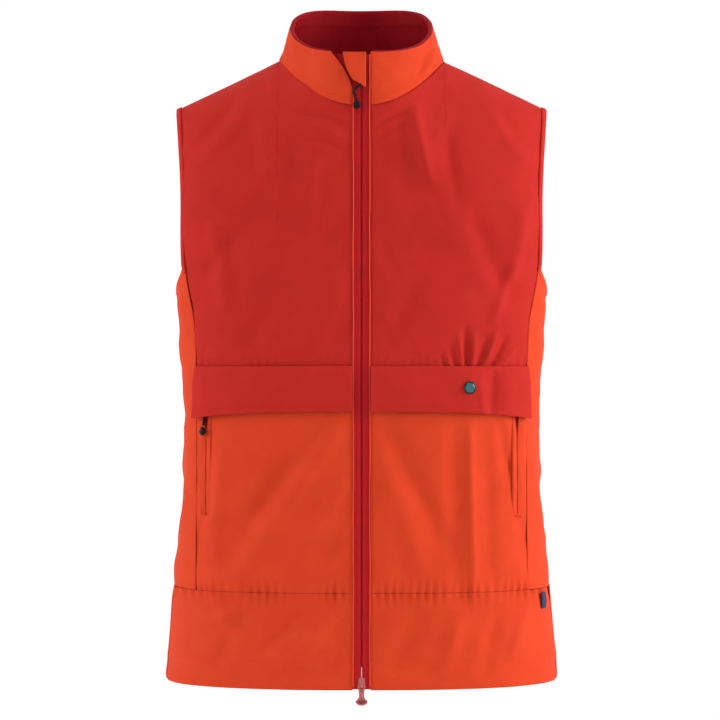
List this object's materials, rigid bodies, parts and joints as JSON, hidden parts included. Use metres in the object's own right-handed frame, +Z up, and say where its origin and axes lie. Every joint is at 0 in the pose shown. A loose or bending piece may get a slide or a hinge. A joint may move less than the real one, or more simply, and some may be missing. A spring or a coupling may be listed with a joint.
{
  "type": "field vest",
  "caption": "Sleeveless zipped field vest with stand collar, red chest yoke over an orange body, storm flaps, hand pockets and a two-way front zip.",
  "frame": {"origin": "middle of the neck, level with the highest points of the shoulders, where the wearer holds the vest up", "axes": "+Z up, the front faces -Y, +X is the wearer's left"},
  "size_m": [0.4376, 0.2616, 0.7661],
  "materials": {
    "orange_shell": "plain woven, matt with a soft sheen",
    "red_yoke": "plain woven, matt with a soft sheen",
    "dark_lining": "smooth woven lining",
    "light_piping": "corded edge",
    "zip_tape": "fine woven tape",
    "zip_coil": "nylon coil",
    "zip_metal": "tinted die-cast metal",
    "black_cord": "braided cord",
    "black_rubber": "satin moulded rubber",
    "teal_cap": "enamelled cap",
    "navy_woven": "woven label"
  },
  "bodies": {
    "vest": {"front_yoke_left": "red_yoke", "front_yoke_right": "red_yoke", "back_yoke": "red_yoke", "front_panel_left": "orange_shell", "front_panel_right": "orange_shell", "back_panel": "orange_shell", "side_panel_left": "orange_shell", "side_panel_right": "orange_shell", "front_hem_band_left": "orange_shell", "front_hem_band_right": "orange_shell", "back_hem_band": "orange_shell", "front_lining_left": "dark_lining", "front_lining_right": "dark_lining", "back_lining": "dark_lining", "side_lining_left": "dark_lining", "side_lining_right": "dark_lining", "snap_stud": "zip_metal", "collar": "orange_shell", "collar_lining": "dark_lining", "collar_facing": "dark_lining", "zip_tape_left": "zip_tape", "zip_tape_right": "zip_tape", "zip_coil_left": "zip_coil", "zip_coil_right": "zip_coil", "zip_stop_left": "zip_metal", "zip_stop_right": "zip_metal", "zip_pin_left": "zip_metal", "zip_pin_right": "zip_metal", "front_piping_left": "light_piping", "front_piping_right": "light_piping", "left_pocket_zip_outer_half": "zip_tape", "left_pocket_zip_inner_half": "zip_tape", "left_pocket_bag": "dark_lining", "right_pocket_zip_outer_half": "zip_tape", "right_pocket_zip_inner_half": "zip_tape", "right_pocket_bag": "dark_lining", "armhole_binding_left": "red_yoke", "armhole_binding_right": "red_yoke", "hanger_loop": "black_cord", "neck_label": "navy_woven"},
    "upper_slider_body": {"upper_slider": "zip_metal"},
    "upper_pull": {"upper_pull_loop": "zip_metal", "upper_pull_cord": "black_cord", "upper_pull_knob": "black_rubber"},
    "lower_slider_body": {"lower_slider": "zip_metal"},
    "lower_pull_body": {"lower_pull": "zip_metal"},
    "garage": {"zip_garage": "orange_shell"},
    "flap_left": {"storm_flap_left": "red_yoke", "snap_cap": "teal_cap", "snap_socket": "zip_metal"},
    "flap_right": {"storm_flap_right": "red_yoke"},
    "label_tab": {"side_label_tab": "navy_woven"},
    "left_pocket_slider_body": {"left_pocket_slider": "zip_metal"},
    "left_pocket_pull": {"left_pocket_pull_loop": "zip_metal", "left_pocket_pull_cord": "black_cord", "left_pocket_pull_knot": "black_cord"},
    "right_pocket_slider_body": {"right_pocket_slider": "zip_metal"},
    "right_pocket_pull": {"right_pocket_pull_loop": "zip_metal", "right_pocket_pull_cord": "black_cord", "right_pocket_pull_knot": "black_cord"}
  },
  "joints": [
    {"name": "upper_slider_travel", "type": "slide", "parent": "vest", "child": "upper_slider_body", "axis": [0, 0.0654, 0.9979], "range_m": [-0.605, 0.012]},
    {"name": "upper_pull_swing", "type": "hinge", "parent": "upper_slider_body", "child": "upper_pull", "pos_m": [0, -0.09411, -0.03149], "axis": [0, -0.9979, 0.0654], "range_deg": [-12, 12]},
    {"name": "lower_slider_travel", "type": "slide", "parent": "vest", "child": "lower_slider_body", "axis": [0, 0.0654, 0.9979], "range_m": [0, 0.6]},
    {"name": "lower_pull_swing", "type": "hinge", "parent": "lower_slider_body", "child": "lower_pull_body", "pos_m": [0, -0.13673, -0.68209], "axis": [-1, 0, 0], "range_deg": [0, 140]},
    {"name": "garage_opening", "type": "hinge", "parent": "vest", "child": "garage", "pos_m": [0.0048, -0.09689, 0.00032], "axis": [0, 0.0654, 0.9979], "range_deg": [0, 120]},
    {"name": "left_flap_lift", "type": "hinge", "parent": "vest", "child": "flap_left", "pos_m": [0.115, -0.1056, -0.3418], "axis": [-0.966, -0.2584, 0], "range_deg": [0, 35]},
    {"name": "right_flap_lift", "type": "hinge", "parent": "vest", "child": "flap_right", "pos_m": [-0.115, -0.1056, -0.3418], "axis": [-0.966, 0.2584, 0], "range_deg": [0, 35]},
    {"name": "label_tab_turn", "type": "hinge", "parent": "vest", "child": "label_tab", "pos_m": [0.19831, -0.0648, -0.597], "axis": [0, 0, -1], "range_deg": [0, 80]},
    {"name": "left_pocket_slider_travel", "type": "slide", "parent": "vest", "child": "left_pocket_slider_body", "axis": [0, 0.0397, 0.9992], "range_m": [-0.112, 0]},
    {"name": "left_pocket_pull_swing", "type": "hinge", "parent": "left_pocket_slider_body", "child": "left_pocket_pull", "pos_m": [0.17003, -0.07613, -0.36755], "axis": [0.6815, -0.7313, 0.0291], "range_deg": [-12, 12]},
    {"name": "right_pocket_slider_travel", "type": "slide", "parent": "vest", "child": "right_pocket_slider_body", "axis": [0, 0.0397, 0.9992], "range_m": [-0.112, 0]},
    {"name": "right_pocket_pull_swing", "type": "hinge", "parent": "right_pocket_slider_body", "child": "right_pocket_pull", "pos_m": [-0.17003, -0.07613, -0.36755], "axis": [-0.6815, -0.7313, 0.0291], "range_deg": [-12, 12]}
  ]
}
